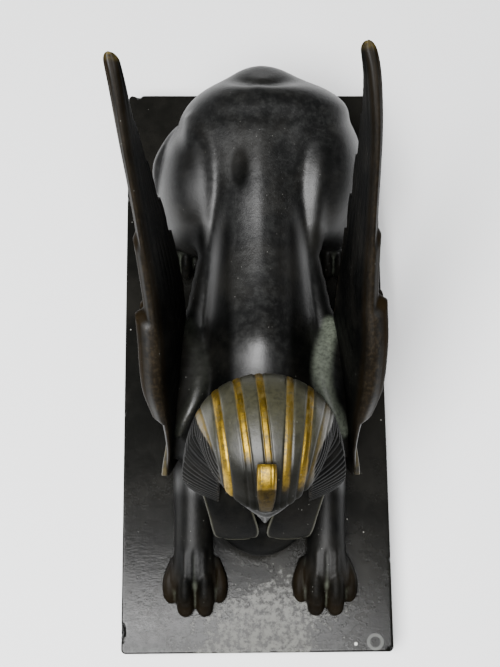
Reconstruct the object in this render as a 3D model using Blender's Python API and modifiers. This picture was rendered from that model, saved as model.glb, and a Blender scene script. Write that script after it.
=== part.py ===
"""Bronze sphinx with raised wings on a thin plinth.

A recumbent lion with a human head in a striped royal headcloth, its tail laid round the right haunch. The
figure is one casting and stands on a flat dark plinth.

Metres, +Z up. The origin is the centre of the plinth's underside. The figure looks along -Y.
"""

import math

import bmesh
import bpy
import numpy as np
from mathutils import Matrix, Vector
from mathutils.bvhtree import BVHTree

# Plinth
plinth_length = 0.212
plinth_width = 0.096
plinth_thickness = 0.012
plinth_corner_radius = 0.0016
plinth_edge_bevel = 0.0007

# Figure
figure_length = 0.192  # from the toes to the back of the rump
figure_side_step = 0.0010  # how far the figure stands off the plinth's long centre line
seat_gap = 0.0003  # between the casting and the plinth

# Wings
wing_height = 0.119  # from the plinth's top to the tips
wing_splay_right = 0.0088  # how far the tip on the figure's right leans out
wing_splay_left = -0.0072  # and on its left, where it leans in
wing_reach_right = -0.0018  # how far that tip lies behind where both are drawn
wing_reach_left = 0.0020

# The figure is drawn in shares of its own length: so many units from toes to rump, with y = 0 over the plinth's
# middle. Its wings are drawn so many units high.
units_along = 192.0
units_up = 119.0
unit = figure_length / units_along

# Paws, in those units: where their toes end, how far from the middle plane they lie, and a toe's width, the
# length of its end joint and its height
forepaw_end = -92.6
forepaw_middle = 22.9
forepaw_toe = (6.3, 8.2, 9.5)
hindpaw_end = 30.6
hindpaw_middle = 28.6
hindpaw_toe = (4.2, 6.0, 8.0)

# Making of the solid
body_triangles = 5500
fusing_voxel = 1.0
mass_smoothing = 20
detail_smoothing = 2


def clear_scene():
    for old in list(bpy.data.objects):
        bpy.data.objects.remove(old, do_unlink=True)


def material(name, colour, roughness, metallic):
    made = bpy.data.materials.new(name)
    made.use_nodes = True
    shader = made.node_tree.nodes["Principled BSDF"]
    shader.inputs["Base Color"].default_value = (*colour, 1)
    shader.inputs["Roughness"].default_value = roughness
    shader.inputs["Metallic"].default_value = metallic
    return made


# Curves and solids, drawn in the figure's units


def smooth_rows(rows, count):
    """Rows read from a Catmull-Rom curve through the given rows, count of them."""
    rows = np.array(rows, float)
    padded = np.vstack([2 * rows[0] - rows[1], rows, 2 * rows[-1] - rows[-2]])
    at = np.linspace(0, len(rows) - 1, count)
    first = np.minimum(at.astype(int), len(rows) - 2)
    t = (at - first)[:, None]
    a, b, c, d = (padded[first + k] for k in range(4))
    return 0.5 * (2 * b + (c - a) * t + (2 * a - 5 * b + 4 * c - d) * t**2 + (3 * b - a - 3 * c + d) * t**3)


def ring_mesh(rings):
    """A closed body from an array of rings: rows by points round by xyz."""
    rows, sides = rings.shape[:2]
    mesh = bmesh.new()
    verts = [[mesh.verts.new(point) for point in ring] for ring in rings]
    for near, far in zip(verts, verts[1:]):
        for k in range(sides):
            after = (k + 1) % sides
            mesh.faces.new((near[k], near[after], far[after], far[k]))
    mesh.faces.new(verts[0][::-1])
    mesh.faces.new(verts[-1])
    bmesh.ops.recalc_face_normals(mesh, faces=mesh.faces)
    return mesh


def loft(stations, sides=28, steps=40, power=2.0):
    """A closed body through stations of x, y, z, half width along X and the half heights above and below it.

    Above and below are meant across the path. A station of five numbers has the same height both ways.
    """
    stations = [row if len(row) == 6 else (*row, row[4]) for row in stations]
    rows = smooth_rows(stations, steps)
    centres = rows[:, :3]
    tangents = np.gradient(centres, axis=0)
    tangents /= np.linalg.norm(tangents, axis=1)[:, None]
    across = np.cross(tangents, (1, 0, 0))
    across /= np.linalg.norm(across, axis=1)[:, None]
    turn = np.linspace(0, 2 * math.pi, sides, endpoint=False)
    wide = np.sign(np.cos(turn)) * np.abs(np.cos(turn)) ** (2 / power)
    high = np.sign(np.sin(turn)) * np.abs(np.sin(turn)) ** (2 / power)
    depth = np.where(high[None, :] > 0, rows[:, 4:5], rows[:, 5:6]) * high[None, :]
    rings = centres[:, None, :] + across[:, None, :] * depth[:, :, None]
    rings[:, :, 0] += rows[:, 3:4] * wide[None, :]
    return ring_mesh(rings)


def ellipsoid(centre, radii, lean=0.0, turn=0.0):
    """A ball of three radii, leant about X and then turned about Z, in degrees."""
    place = (
        Matrix.Translation(Vector(centre))
        @ Matrix.Rotation(math.radians(turn), 4, "Z")
        @ Matrix.Rotation(math.radians(lean), 4, "X")
        @ Matrix.Diagonal((*radii, 1))
    )
    mesh = bmesh.new()
    bmesh.ops.create_uvsphere(mesh, u_segments=32, v_segments=20, radius=1, matrix=place)
    return mesh


def both_sides(make):
    """What make(side) gives on the figure's left, +1, and on its right, -1."""
    return make(1) + make(-1)


def mesh_of(pieces):
    """Several bmeshes as one mesh."""
    joined = bmesh.new()
    for piece in pieces:
        part = bpy.data.meshes.new("piece")
        piece.to_mesh(part)
        piece.free()
        joined.from_mesh(part)
        bpy.data.meshes.remove(part)
    mesh = bpy.data.meshes.new("joined")
    joined.to_mesh(mesh)
    joined.free()
    return mesh


def evaluated(mesh, modifiers):
    """The mesh after a list of modifiers, each a type and its settings."""
    carrier = bpy.data.objects.new("carrier", mesh)
    bpy.context.scene.collection.objects.link(carrier)
    for kind, settings in modifiers:
        modifier = carrier.modifiers.new(kind.title(), kind)
        for setting, value in settings.items():
            setattr(modifier, setting, value)
    graph = bpy.context.evaluated_depsgraph_get()
    done = bpy.data.meshes.new_from_object(carrier.evaluated_get(graph))
    bpy.data.objects.remove(carrier, do_unlink=True)
    bpy.data.meshes.remove(mesh)
    return done


def step(low, high, values):
    """0 below low, 1 above high, and smooth between."""
    t = np.clip((values - low) / (high - low), 0, 1)
    return t * t * (3 - 2 * t)


def fused(pieces, smoothing):
    """One skin round all the pieces, smoothed so that they flow together."""
    return evaluated(
        mesh_of(pieces),
        [
            ("REMESH", {"mode": "VOXEL", "voxel_size": fusing_voxel}),
            ("SMOOTH", {"factor": 0.5, "iterations": smoothing}),
        ],
    )


def as_bmesh(mesh):
    made = bmesh.new()
    made.from_mesh(mesh)
    bpy.data.meshes.remove(mesh)
    return made


# The lion


def torso():
    return loft(
        [
            (1.4, 97.2, 38, 5, 5),
            (2.2, 95.6, 36, 13.5, 10.5),
            (3.4, 92.0, 34, 23, 15.5),
            (3.6, 86.5, 31.5, 29.5, 19),
            (2.0, 79, 28.5, 31, 22),
            (0.8, 66, 25.5, 27, 24.5),
            (0, 50, 24, 21, 25.0),
            (0, 34, 23, 19, 24.5),
            (0, 16, 22.5, 20, 25.3),
            (0, 2, 23, 21, 27.0),
            (0, -7, 23.5, 21.5, 27.8),
            (0, -16, 24, 22, 26.0),
            (0, -30, 25, 22.5, 25.5),
            (0, -44, 25, 22.5, 24),
            (0, -54, 23, 19, 18, 24),
            (0, -61, 20, 17, 15.5, 20),
            (0, -66.4, 18.5, 14, 12, 18.5),
            (0, -69.8, 17, 9.5, 8.5, 16),
            (0, -71.2, 16, 4, 4, 8),
        ],
        sides=40,
        steps=60,
    )


def haunch(side):
    """A hind leg folded beside the belly: the figure's left one lies a little further back and fuller."""
    if side > 0:
        thigh = ellipsoid((22.5, 65, 21), (16.6, 27, 23.4))
    else:
        thigh = ellipsoid((-22, 59, 21), (14.4, 25, 23.4))
    knee = ellipsoid((side * 28, 47, 19), (8.2, 8, 15), lean=-16)
    shank = loft([(side * 29, 44, 15, 7, 8), (side * 31, 62, 11, 6, 9), (side * 29, 82, 6, 5, 6)])
    foot = loft(
        [
            (side * 29.5, 86, 4, 4.5, 4),
            (side * 30, 70, 3.5, 5.5, 5.5),
            (side * 29, 46, 3, 6, 6.5),
            (side * 28, 37, 3, 6.6, 6),
        ]
    )
    return [thigh, knee, shank, foot, flank_ridge(side)]


def flank_ridge(side):
    """The soft ridge that runs from the hip bone into the fold of the flank."""
    return loft(
        [
            (side * 19.4, 79, 37.0, 4.6, 4.0),
            (side * 19.2, 70, 40.2, 4.8, 5.4),
            (side * 18.4, 60, 39.6, 4.8, 6.2),
            (side * 17.8, 51, 35.0, 4.6, 7.0),
            (side * 18.0, 43, 30.0, 4.4, 8.0),
            (side * 18.6, 34, 25.5, 4.2, 8.0),
        ],
        steps=50,
    )


def foreleg(side):
    shoulder = ellipsoid((side * 21, -30, 19), (8.6, 19, 15), lean=10)
    leg = loft(
        [
            (side * 22.5, -12, 8, 6, 9),
            (side * 23, -26, 9, 8, 12),
            (side * 23.2, -44, 8.5, 7.6, 11),
            (side * 23.4, -60, 7, 7, 9.5),
            (side * 23.4, -73, 6, 7.2, 7.5),
            (side * 23.2, -81, 4, 9.2, 6.5),
            (side * 23.2, -86.5, 2.5, 8, 4),
        ],
        steps=50,
    )
    return [shoulder, leg]


def wing_seat(side):
    """The wing's root between the back and the blade, and its raised edge along the back."""
    root = loft(
        [
            (side * 25.4, 7, 22, 3.0, 6),
            (side * 25.4, 2, 25, 4.6, 10),
            (side * 25.6, -8, 27, 5.6, 12.5),
            (side * 26.0, -18, 28, 5.8, 13),
            (side * 27.0, -27, 27, 5.4, 12),
            (side * 28.2, -34, 24, 4.2, 9),
            (side * 29.0, -39, 21, 3.0, 6),
        ],
        steps=50,
    )
    rim = loft(
        [
            (side * 25.2, 5.5, 30.0, 1.8, 2.6),
            (side * 22.0, -1, 33.6, 2.0, 3.0),
            (side * 19.8, -8, 36.4, 2.2, 3.2),
            (side * 18.8, -14, 38.6, 2.2, 3.4),
            (side * 19.4, -20, 40.4, 2.2, 3.4),
            (side * 22.0, -25.5, 40.8, 2.2, 3.4),
            (side * 25.4, -30, 39.0, 2.0, 3.0),
            (side * 28.2, -35, 35.5, 1.8, 2.6),
        ],
        steps=60,
    )
    return [root, rim]


# Sections of a toe from its knuckle to its end, in shares of its length, width and height: how far behind its end,
# how far it is drawn in (in units), half width, height of its middle and half height.
middle_toe = [
    (1.75, 0, 0.44, 0.60, 0.50),
    (1.20, 0, 0.49, 0.62, 0.60),
    (0.80, 0, 0.50, 0.58, 0.58),
    (0.52, 0, 0.485, 0.46, 0.46),
    (0.30, 0, 0.48, 0.38, 0.40),
    (0.10, 0, 0.41, 0.28, 0.28),
    (0, 0, 0.20, 0.20, 0.14),
]
outer_toe = [
    (2.40, 1.8, 0.22, 0.34, 0.30),
    (1.90, 0.7, 0.32, 0.36, 0.36),
    (1.45, 0, 0.39, 0.35, 0.36),
    (1.00, 0, 0.40, 0.31, 0.33),
    (0.68, 0.2, 0.33, 0.24, 0.25),
    (0.50, 0.7, 0.16, 0.16, 0.13),
]


def toes(side, end, middle, width, length, height):
    """Four toes: two long ones in the middle and a lower one, lying further back, on either side."""
    made = []
    for apart, sections in ((-1.43, outer_toe), (-0.545, middle_toe), (0.545, middle_toe), (1.43, outer_toe)):
        stations = []
        for back, drawn_in, half_width, up, half_height in sections:
            x = side * (middle + apart * width - math.copysign(drawn_in, apart))
            stations.append((x, end + back * length, up * height, half_width * width, half_height * height))
        made.append(loft(stations, power=2.2))
    return made


# Near where the tail runs: down the back of the rump and up over the right haunch.
tail_route = [
    (1.5, 89, 42),
    (1.5, 94, 33),
    (-2, 96, 23),
    (-10, 95, 15),
    (-18, 92, 13),
    (-25, 87, 18),
    (-30, 80, 25),
    (-34, 72, 28),
    (-36, 64, 27),
    (-36, 56, 24),
]


def tail(skin):
    """A tube laid on the skin near the tail's route, thinner towards its end and with a tuft there."""
    surface = BVHTree.FromBMesh(skin)
    path = bpy.data.curves.new("tail_path", "CURVE")
    path.dimensions = "3D"
    path.bevel_depth = 2.2
    path.bevel_resolution = 3
    path.use_fill_caps = True
    points = smooth_rows(tail_route, 44)
    spline = path.splines.new("POLY")
    spline.points.add(len(points) - 1)
    for index, (point, place) in enumerate(zip(spline.points, points)):
        along = index / (len(points) - 1)
        nearest, outward, _, _ = surface.find_nearest(Vector(place))
        laid = nearest + outward * (0.6 * min(1.0, 4 * along) - 1.6)
        point.co = (*laid, 1)
        point.radius = 1.2 - 0.4 * along + 0.55 * math.exp(-(((along - 0.88) / 0.08) ** 2))
    carrier = bpy.data.objects.new("tail_path", path)
    bpy.context.scene.collection.objects.link(carrier)
    graph = bpy.context.evaluated_depsgraph_get()
    mesh = bpy.data.meshes.new_from_object(carrier.evaluated_get(graph))
    bpy.data.objects.remove(carrier, do_unlink=True)
    made = as_bmesh(mesh)
    bmesh.ops.remove_doubles(made, verts=made.verts, dist=0.001)
    return made


# The head and its headcloth


def neck():
    return loft([(0, -34, 36, 15, 15), (0, -42, 50, 14, 14), (0, -47, 62, 13, 13)])


# Sections of the headcloth: height, where it is widest, half width there, how far it reaches to the front and
# to the back of that line, how pointed its front is, and where its front is cut off beside the face.
cloth_sections = [
    (89.05, -43.0, 0.3, 0.4, 0.4, 2.0, -75.0),
    (88.95, -43.0, 2.4, 3.0, 3.0, 2.0, -75.0),
    (88.5, -43.0, 5.2, 6.0, 6.2, 2.0, -75.0),
    (87.6, -43.0, 8.5, 9.0, 9.3, 2.0, -75.0),
    (85.4, -43.0, 13.0, 13.3, 13.8, 2.0, -75.0),
    (82.0, -42.6, 16.8, 17.2, 17.4, 2.0, -75.0),
    (78.0, -41.4, 19.2, 21.6, 18.4, 1.9, -75.0),
    (74.8, -39.6, 20.6, 26.0, 17.2, 1.75, -75.0),
    (72.0, -39.4, 21.8, 23.5, 17.2, 1.5, -57.0),
    (69.0, -42.0, 23.4, 18.5, 19.4, 1.3, -53.0),
    (66.0, -45.8, 24.8, 16.5, 22.6, 1.25, -52.5),
    (62.0, -49.6, 25.7, 12.5, 25.4, 1.25, -52.5),
    (58.0, -52.2, 26.0, 10.0, 26.6, 1.25, -52.5),
    (54.0, -53.6, 25.4, 9.0, 25.4, 1.3, -52.5),
    (50.0, -54.0, 23.8, 8.0, 23.0, 1.5, -52.5),
    (47.5, -53.0, 21.0, 6.0, 19.0, 1.8, -52.5),
]


def headcloth(rows=52, sides=96):
    """The cloth over the skull, flaring to flaps beside the face and cut off there."""
    z, widest, half, front, back, power, cut = smooth_rows(cloth_sections, rows).T[:, :, None]
    turn = np.linspace(0, 2 * math.pi, sides, endpoint=False)[None, :]
    cosine, sine = np.cos(turn), np.sin(turn)
    power = np.where(sine < 0, power, 2.1)
    x = half * np.sign(cosine) * np.abs(cosine) ** (2 / power)
    y = widest + np.where(sine < 0, front, back) * np.sign(sine) * np.abs(sine) ** (2 / power)
    y = np.maximum(y, cut - 30 * step(14.0, 15.2, np.abs(x)))
    return ring_mesh(np.stack([x, y, np.broadcast_to(z, x.shape)], axis=2))


def breast(side):
    """The swell of the chest under a lappet."""
    return [ellipsoid((side * 8.6, -57.0, 31), (7.6, 8.6, 9))]


def lappet(side):
    """One of the two ends of the cloth that hang over the chest."""
    return [
        loft(
            [
                (side * 15.0, -50, 54, 7.0, 4.0),
                (side * 12.8, -56.5, 50, 6.9, 3.2),
                (side * 11.0, -62.3, 44.5, 6.6, 2.8),
                (side * 9.9, -66.0, 38.5, 6.2, 2.4),
                (side * 9.3, -67.8, 34.0, 5.4, 2.1),
                (side * 9.2, -68.3, 31.4, 3.6, 1.7),
            ],
            power=3.0,
        )
    ]


def bump(x, z, at_x, at_z, wide, high):
    return math.exp(-(((x - at_x) / wide) ** 2) - ((z - at_z) / high) ** 2)


def face_relief(x, z):
    """How far the face stands out from its egg, on a general canon: brow to nose as long as nose to chin."""
    side = abs(x)
    nose_slope = min(1.0, max(0.0, (70.0 - z) / 10.0))
    nose_end = 1 / (1 + math.exp(-(z - 58.6) * 3.2))
    nose_width = 1.3 + 0.9 * nose_slope
    nose = (1.0 + 3.6 * nose_slope) * nose_end * math.exp(-((side / nose_width) ** 2)) * (1 if z < 72 else 0)
    nose += 1.1 * bump(side, z, 2.3, 60.0, 1.1, 1.3)
    socket = -1.7 * bump(side, z, 5.0, 67.2, 3.6, 2.1)
    eye = 1.5 * bump(side, z, 5.2, 67.0, 2.4, 1.25)
    brow = 0.9 * bump(side, z, 4.8, 70.4 - 0.03 * (side - 4) ** 2, 4.4, 0.9)
    cheek = 0.9 * bump(side, z, 7.2, 61.5, 3.6, 3.4)
    lips = 1.3 * bump(x, z, 0, 56.2, 3.6, 0.8) + 1.4 * bump(x, z, 0, 54.2, 3.0, 0.9)
    mouth = -0.7 * bump(x, z, 0, 55.2, 4.2, 0.35)
    hollow = -0.6 * bump(x, z, 0, 52.3, 3.2, 0.9)
    chin = 1.6 * bump(x, z, 0, 49.4, 4.0, 2.2)
    return nose + socket + eye + brow + cheek + lips + mouth + hollow + chin


def face(columns=41, rows=49):
    """The face as a closed solid: its front from the relief, its back flat inside the head."""
    half_width, depth, half_height = 13.4, 15.5, 19.5
    middle_y, middle_z, back_y = -47.5, 63.5, -46.0
    made = bmesh.new()
    front = []
    back = []
    for row in range(rows):
        rise = math.sin(math.pi * (row / (rows - 1) - 0.5))
        z = middle_z + rise * half_height
        reach = half_width * math.sqrt(max(0.0, 1 - rise**2)) + 0.4
        front.append([])
        back.append([])
        for column in range(columns):
            x = reach * math.sin(math.pi * (column / (columns - 1) - 0.5))
            egg = max(0.0, 1 - (x / (half_width + 0.4)) ** 2 - rise**2)
            y = middle_y - depth * egg**0.5 - face_relief(x, z) * min(1.0, 2.2 * egg)
            front[-1].append(made.verts.new((x, y, z)))
            back[-1].append(made.verts.new((x, back_y, z)))
    for grid in (front, back):
        for low, high in zip(grid, grid[1:]):
            for k in range(columns - 1):
                made.faces.new((low[k], low[k + 1], high[k + 1], high[k]))
    edge = [(r, 0) for r in range(rows)] + [(rows - 1, c) for c in range(1, columns)]
    edge += [(r, columns - 1) for r in range(rows - 2, -1, -1)] + [(0, c) for c in range(columns - 2, 0, -1)]
    for (r, c), (s, d) in zip(edge, edge[1:] + edge[:1]):
        made.faces.new((front[r][c], front[s][d], back[s][d], back[r][c]))
    bmesh.ops.recalc_face_normals(made, faces=made.faces)
    return made


def cobra():
    """The royal cobra on the brow: a broad raised head over a short throat."""
    return [
        loft(
            [
                (-0.2, -63.4, 72, 2.2, 1.6),
                (-0.2, -63.9, 76, 2.3, 1.7),
                (-0.2, -63.2, 79.6, 2.5, 1.8),
                (-0.2, -61.2, 82.8, 3.0, 2.2),
                (-0.2, -58.2, 85.8, 3.1, 2.5),
                (-0.2, -54.9, 87.4, 3.2, 2.5),
                (-0.2, -52.4, 87.6, 3.0, 2.2),
            ],
            power=3.0,
        ),
    ]


# The headband: how far it reaches either side, and how far back and forward it runs.
band_reach = 18.6
band_back = -46.5
band_apex = -65.2


def headband(sides=16, steps=60):
    """The band round the forehead, under the cloth's front edge and pointed over the brow."""
    across = np.sin(np.radians(np.linspace(-90, 90, steps))) * band_reach
    inward = np.abs(across) / band_reach
    y = band_back + (band_apex - band_back) * (1 - inward**1.45)
    z = 70.6 + 2.6 * (1 - inward**2)
    centre = np.stack([across, y, z], axis=1)
    tangent = np.gradient(centre, axis=0)
    outward = np.cross(tangent, (0, 0, 1.0))
    outward /= np.linalg.norm(outward, axis=1)[:, None]
    outward *= -np.sign(outward[:, 1:2])
    lean = np.array((0, 0, 1.0)) - 0.75 * outward
    lean /= np.linalg.norm(lean, axis=1)[:, None]
    facing = outward + 0.75 * np.array((0, 0, 1.0))
    facing /= np.linalg.norm(facing, axis=1)[:, None]
    turn = np.linspace(0, 2 * math.pi, sides, endpoint=False)
    rings = centre[:, None, :] + facing[:, None, :] * (1.2 * np.cos(turn))[None, :, None]
    rings += lean[:, None, :] * (2.6 * np.sin(turn))[None, :, None]
    return ring_mesh(rings)


def body_mesh():
    masses = [torso(), neck()]
    masses += both_sides(haunch)
    masses += both_sides(foreleg)
    masses += both_sides(breast)
    masses += both_sides(wing_seat)
    skin = as_bmesh(fused(masses, mass_smoothing))
    details = both_sides(lambda side: toes(side, forepaw_end, forepaw_middle, *forepaw_toe))
    details += both_sides(lambda side: toes(side, hindpaw_end, hindpaw_middle, *hindpaw_toe))
    details += both_sides(lappet)
    details += both_sides(wing_edge)
    details += [tail(skin), headcloth(), face(), *cobra(), headband()]
    mesh = fused([skin, *details], detail_smoothing)
    share = body_triangles / (2.0 * len(mesh.polygons))
    return evaluated(mesh, [("DECIMATE", {"ratio": share})])


def cut_flat(made, height=0.0):
    """Cuts the solid off flat at a height and closes it."""
    bmesh.ops.bisect_plane(
        made,
        geom=made.verts[:] + made.edges[:] + made.faces[:],
        dist=0.0001,
        plane_co=(0, 0, height),
        plane_no=(0, 0, -1),
        clear_outer=True,
    )
    rim = [edge for edge in made.edges if edge.is_boundary]
    bmesh.ops.holes_fill(made, edges=rim, sides=0)
    bmesh.ops.recalc_face_normals(made, faces=made.faces)


def seat_matrix():
    """From the figure's units to metres, on the plinth's top."""
    place = Vector((figure_side_step, 0, plinth_thickness + seat_gap))
    return Matrix.Translation(place) @ Matrix.Scale(unit, 4)


def add_object(name, made, made_of, collection, smooth_angle=40):
    mesh = bpy.data.meshes.new(name)
    bmesh.ops.triangulate(made, faces=made.faces)
    made.to_mesh(mesh)
    made.free()
    mesh.shade_smooth()
    mesh.set_sharp_from_angle(angle=math.radians(smooth_angle))
    mesh.materials.append(made_of)
    added = bpy.data.objects.new(name, mesh)
    collection.objects.link(added)
    return added


# The wings

# The front edge and the back edge of a wing, seen from the side, from its root to its tip.
wing_front = [
    (-46.5, 20),
    (-45.5, 29),
    (-41, 38),
    (-34, 48),
    (-26, 58),
    (-14, 68),
    (1, 77),
    (21, 91),
    (42, 106),
    (58, 115),
    (67, 119),
]
wing_back = [
    (-34, 15),
    (-20, 17),
    (-8, 22),
    (2, 29),
    (12, 36),
    (22, 44),
    (33, 55),
    (43, 68),
    (53, 85),
    (61, 102),
    (67.5, 117.5),
]
# How far from the middle plane those two edges lie, and the blade's thickness either side of them.
front_half_span = [32.2, 31.8, 31.0, 31.6, 33.4, 34, 34.4, 36.0, 37.8, 38.2, 37.8]
back_half_span = [26, 26, 26, 26.4, 27.4, 28.6, 30.4, 33, 35.6, 37.4, 37.7]
outer_swell = [1.3, 1.3, 1.2, 1.5, 2.9, 3.2, 3.0, 2.7, 2.6, 2.5, 2.3]
inner_swell = [1.2, 1.2, 1.3, 1.9, 3.1, 3.0, 2.9, 2.9, 2.9, 3.1, 3.0]

# Where along the wing the short feathers begin, and where they and the middle row end, each over the next.
covert_start = 0.30
covert_end_right = 0.552
covert_end_left = 0.572
secondary_end = 0.668
covert_depth = 3.2
secondary_depth = 1.3
tip_start = 0.965  # where the wing begins to round off


def row_depth(along, across, end, tips, depth):
    """How thick a row of feathers lies at a place on the wing: full before its scalloped end, then none."""
    scallop = 0.03 * np.abs(np.sin(np.pi * across * tips))
    return depth * np.clip((end + scallop - 0.08 * across - along) / 0.022, 0, 1)


def covert_swell(along, across):
    """The short feathers swell over the shoulder of the wing, full at once at their round lower end."""
    start = np.clip((along - covert_start - 0.05 * across) / 0.018, 0, 1)
    return np.sqrt(start) * (0.80 + 0.20 * np.sin(np.pi * np.clip((along - covert_start) / 0.36, 0, 1)))


def blade_profile(across):
    front = np.minimum(1.0, across / 0.3)
    return np.sqrt(np.clip(1 - (1 - front) ** 2, 0, 1)) * (1 - 0.7 * np.maximum(0.0, across - 0.3))


def wing_edge(side):
    """The thin raised rim of the wing's root over the shoulder, cut off square at its lower end."""
    return [
        loft(
            [
                (side * 30.6, -29.0, 40.5, 0.9, 1.1),
                (side * 31.0, -33.0, 37.5, 0.9, 1.1),
                (side * 31.8, -38.5, 33.5, 0.9, 1.1),
                (side * 32.7, -43.5, 29.5, 1.0, 1.2),
                (side * 33.0, -46.8, 26.5, 1.2, 1.4),
            ],
            sides=16,
            steps=30,
            power=3.0,
        )
    ]


def wing(side, splay, reach, covert_end, span_steps=58, chord_steps=9):
    spans = [front_half_span, back_half_span, outer_swell, inner_swell]
    rows = smooth_rows(np.column_stack([wing_front, wing_back, *spans]), span_steps)
    front_y, front_z, back_y, back_z, front_x, back_x, swell_out, swell_in = rows.T[:, :, None]
    along = np.linspace(0, 1, span_steps)[:, None]
    k = np.arange(2 * chord_steps)
    outward = (k < chord_steps)[None, :]
    across = np.where(k < chord_steps, k + 0.5, 2 * chord_steps - k - 0.5) / chord_steps
    across = (across**1.25)[None, :]
    round_end = np.sqrt(1 - np.clip((along - tip_start) / (1 - tip_start), 0, 1) ** 2)
    profile = blade_profile(across) * round_end
    over = np.minimum(1.0, profile * 1.6)
    rise = row_depth(along, across, covert_end, 4, covert_depth) * over * covert_swell(along, across)
    rise += row_depth(along, across, secondary_end, 4, secondary_depth) * over * np.minimum(1, along / 0.3)
    y = front_y + (back_y - front_y) * across
    z = front_z + (back_z - front_z) * across
    x = front_x + (back_x - front_x) * across
    x += np.where(outward, swell_out * profile + rise, -swell_in * profile)
    beyond = np.maximum(0.0, 2 * along - 1)
    x += splay * beyond**1.3
    y += reach * beyond
    return ring_mesh(np.stack([side * x, y, z * wing_height / unit / units_up], axis=2))


def joined(body, others):
    """The union of one mesh with others, each added in turn."""
    carrier = bpy.data.objects.new("carrier", body)
    bpy.context.scene.collection.objects.link(carrier)
    helpers = []
    for other in others:
        mesh = bpy.data.meshes.new("added")
        other.to_mesh(mesh)
        other.free()
        helper = bpy.data.objects.new("added", mesh)
        bpy.context.scene.collection.objects.link(helper)
        helpers.append(helper)
        union = carrier.modifiers.new("union", "BOOLEAN")
        union.operation = "UNION"
        union.object = helper
    graph = bpy.context.evaluated_depsgraph_get()
    mesh = bpy.data.meshes.new_from_object(carrier.evaluated_get(graph))
    for done in [carrier, *helpers]:
        bpy.data.objects.remove(done, do_unlink=True)
    return mesh


def make_figure(collection, bronze):
    wings = [
        wing(-1, wing_splay_right / unit, wing_reach_right / unit, covert_end_right),
        wing(1, wing_splay_left / unit, wing_reach_left / unit, covert_end_left),
    ]
    made = as_bmesh(joined(body_mesh(), wings))
    cut_flat(made)
    bmesh.ops.transform(made, matrix=seat_matrix(), verts=made.verts)
    return add_object("sphinx", made, bronze, collection)


# The plinth


def make_plinth(collection, dark):
    made = bmesh.new()
    bmesh.ops.create_cube(made, size=1)
    bmesh.ops.scale(made, vec=(plinth_width, plinth_length, plinth_thickness), verts=made.verts)
    bmesh.ops.translate(made, vec=(0, 0, plinth_thickness / 2), verts=made.verts)
    upright = [e for e in made.edges if abs(e.verts[0].co.z - e.verts[1].co.z) > plinth_thickness / 2]
    bmesh.ops.bevel(made, geom=upright, offset=plinth_corner_radius, segments=4, profile=0.5, affect="EDGES")
    top = [e for e in made.edges if all(v.co.z > plinth_thickness * 0.999 for v in e.verts)]
    bmesh.ops.bevel(made, geom=top, offset=plinth_edge_bevel, segments=2, profile=0.5, affect="EDGES")
    return add_object("plinth", made, dark, collection, smooth_angle=30)


def main():
    clear_scene()
    collection = bpy.data.collections.new("sphinx_statue")
    bpy.context.scene.collection.children.link(collection)
    bronze = material("dark_bronze", (0.045, 0.04, 0.035), 0.32, 0.85)
    dark = material("plinth_black", (0.03, 0.03, 0.03), 0.4, 0.0)
    make_plinth(collection, dark)
    make_figure(collection, bronze)


main()
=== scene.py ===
"""Looks of the sphinx statue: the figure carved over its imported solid, its finishes, light and camera."""
import math

import bmesh
import bpy
import numpy as np
from mathutils import Matrix, Vector
from mathutils.bvhtree import BVHTree


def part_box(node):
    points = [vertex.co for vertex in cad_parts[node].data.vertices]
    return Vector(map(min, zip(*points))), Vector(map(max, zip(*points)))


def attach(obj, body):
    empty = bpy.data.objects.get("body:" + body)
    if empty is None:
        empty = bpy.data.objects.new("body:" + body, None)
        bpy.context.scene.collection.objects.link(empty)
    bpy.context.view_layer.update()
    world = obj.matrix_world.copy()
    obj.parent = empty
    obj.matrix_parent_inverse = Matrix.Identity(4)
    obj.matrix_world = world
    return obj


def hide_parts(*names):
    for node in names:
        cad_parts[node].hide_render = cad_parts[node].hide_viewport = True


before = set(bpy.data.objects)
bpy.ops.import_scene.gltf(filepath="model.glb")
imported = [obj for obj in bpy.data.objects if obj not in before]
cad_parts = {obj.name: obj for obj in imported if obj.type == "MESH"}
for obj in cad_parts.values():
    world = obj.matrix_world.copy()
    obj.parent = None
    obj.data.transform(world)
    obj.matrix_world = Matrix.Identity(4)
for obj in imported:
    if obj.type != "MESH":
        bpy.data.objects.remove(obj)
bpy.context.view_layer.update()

# From the frame: where the plinth lies, and the figure's drawing unit in metres, from its solid's height.
# The figure is drawn in these units, with Z from the plinth's top, and then placed at its seat.
figure_low, figure_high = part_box("sphinx")
plinth_low, plinth_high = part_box("plinth")
drawn_height = 119.0
unit = (figure_high[2] - figure_low[2]) / drawn_height
figure_side_step = 0.0010
seat = Vector((figure_side_step, 0, figure_low[2]))

# Fineness of the lion's mesh, in drawing units, and how often each skin is smoothed
mass_voxel, mass_smoothing = 0.9, 22
skin_voxel, skin_smoothing = 0.62, 3


# Solids from curves, as in the CAD model


def smooth_rows(rows, count):
    """Rows read from a Catmull-Rom curve through the given rows, count of them."""
    rows = np.array(rows, float)
    padded = np.vstack([2 * rows[0] - rows[1], rows, 2 * rows[-1] - rows[-2]])
    at = np.linspace(0, len(rows) - 1, count)
    first = np.minimum(at.astype(int), len(rows) - 2)
    t = (at - first)[:, None]
    a, b, c, d = (padded[first + k] for k in range(4))
    return 0.5 * (2 * b + (c - a) * t + (2 * a - 5 * b + 4 * c - d) * t**2 + (3 * b - a - 3 * c + d) * t**3)


def around(sides):
    """Angles evenly round a full turn."""
    return np.linspace(0, 2 * math.pi, sides, endpoint=False)


def directions(rows):
    """The rows, each brought to length 1."""
    return rows / np.linalg.norm(rows, axis=1)[:, None]


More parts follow.
